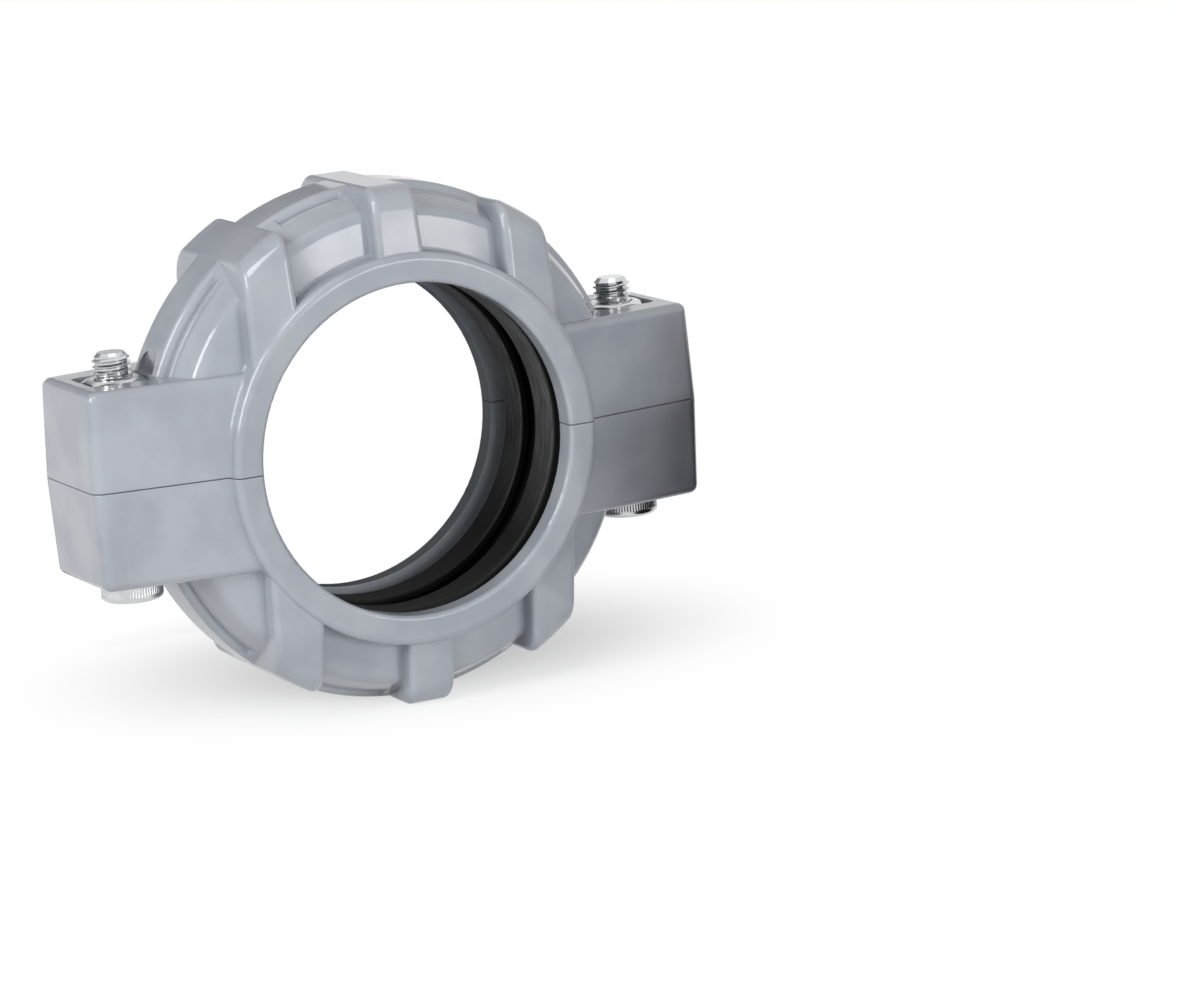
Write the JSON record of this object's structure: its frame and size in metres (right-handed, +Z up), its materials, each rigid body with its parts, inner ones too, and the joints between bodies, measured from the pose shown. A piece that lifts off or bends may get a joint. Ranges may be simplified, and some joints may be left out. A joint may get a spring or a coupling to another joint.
{
  "type": "grooved pipe coupling",
  "caption": "Bolted plastic coupling that clamps two grooved pipe ends round a rubber gasket, with ribbed halves, tapered lugs and stainless bolts.",
  "frame": {"origin": "middle of the pipe bore, on the plane where the two halves part", "axes": "+X across the coupling towards the right lug, +Y along the pipe, away from the side that the picture shows, +Z up along the bolts"},
  "size_m": [0.2206, 0.0696, 0.1746],
  "materials": {
    "housing": "moulded CPVC, glossy",
    "gasket": "moulded EPDM rubber",
    "fasteners": "bright stainless steel"
  },
  "bodies": {
    "lower_half": {"lower_housing": "housing", "gasket": "gasket"},
    "upper_half": {"upper_housing": "housing", "left_nut": "fasteners", "right_nut": "fasteners"},
    "left_bolt": {"left_bolt": "fasteners"},
    "right_bolt": {"right_bolt": "fasteners"}
  },
  "joints": [
    {"name": "halves_part", "type": "slide", "parent": "lower_half", "child": "upper_half", "axis": [0, 0, 1], "range_m": [0, 0.00855]},
    {"name": "left_bolt_turn", "type": "hinge", "parent": "lower_half", "child": "left_bolt", "pos_m": [-0.0918, 0, -0.0279], "axis": [0, 0, -1], "range_deg": [0, 1575]},
    {"name": "right_bolt_turn", "type": "hinge", "parent": "lower_half", "child": "right_bolt", "pos_m": [0.0918, 0, -0.0279], "axis": [0, 0, -1], "range_deg": [0, 1575]}
  ],
  "couplings": [
    {"joint": "left_bolt_turn", "follows": "halves_part", "rad_per_m": 3215.8},
    {"joint": "right_bolt_turn", "follows": "halves_part", "rad_per_m": 3215.8}
  ]
}
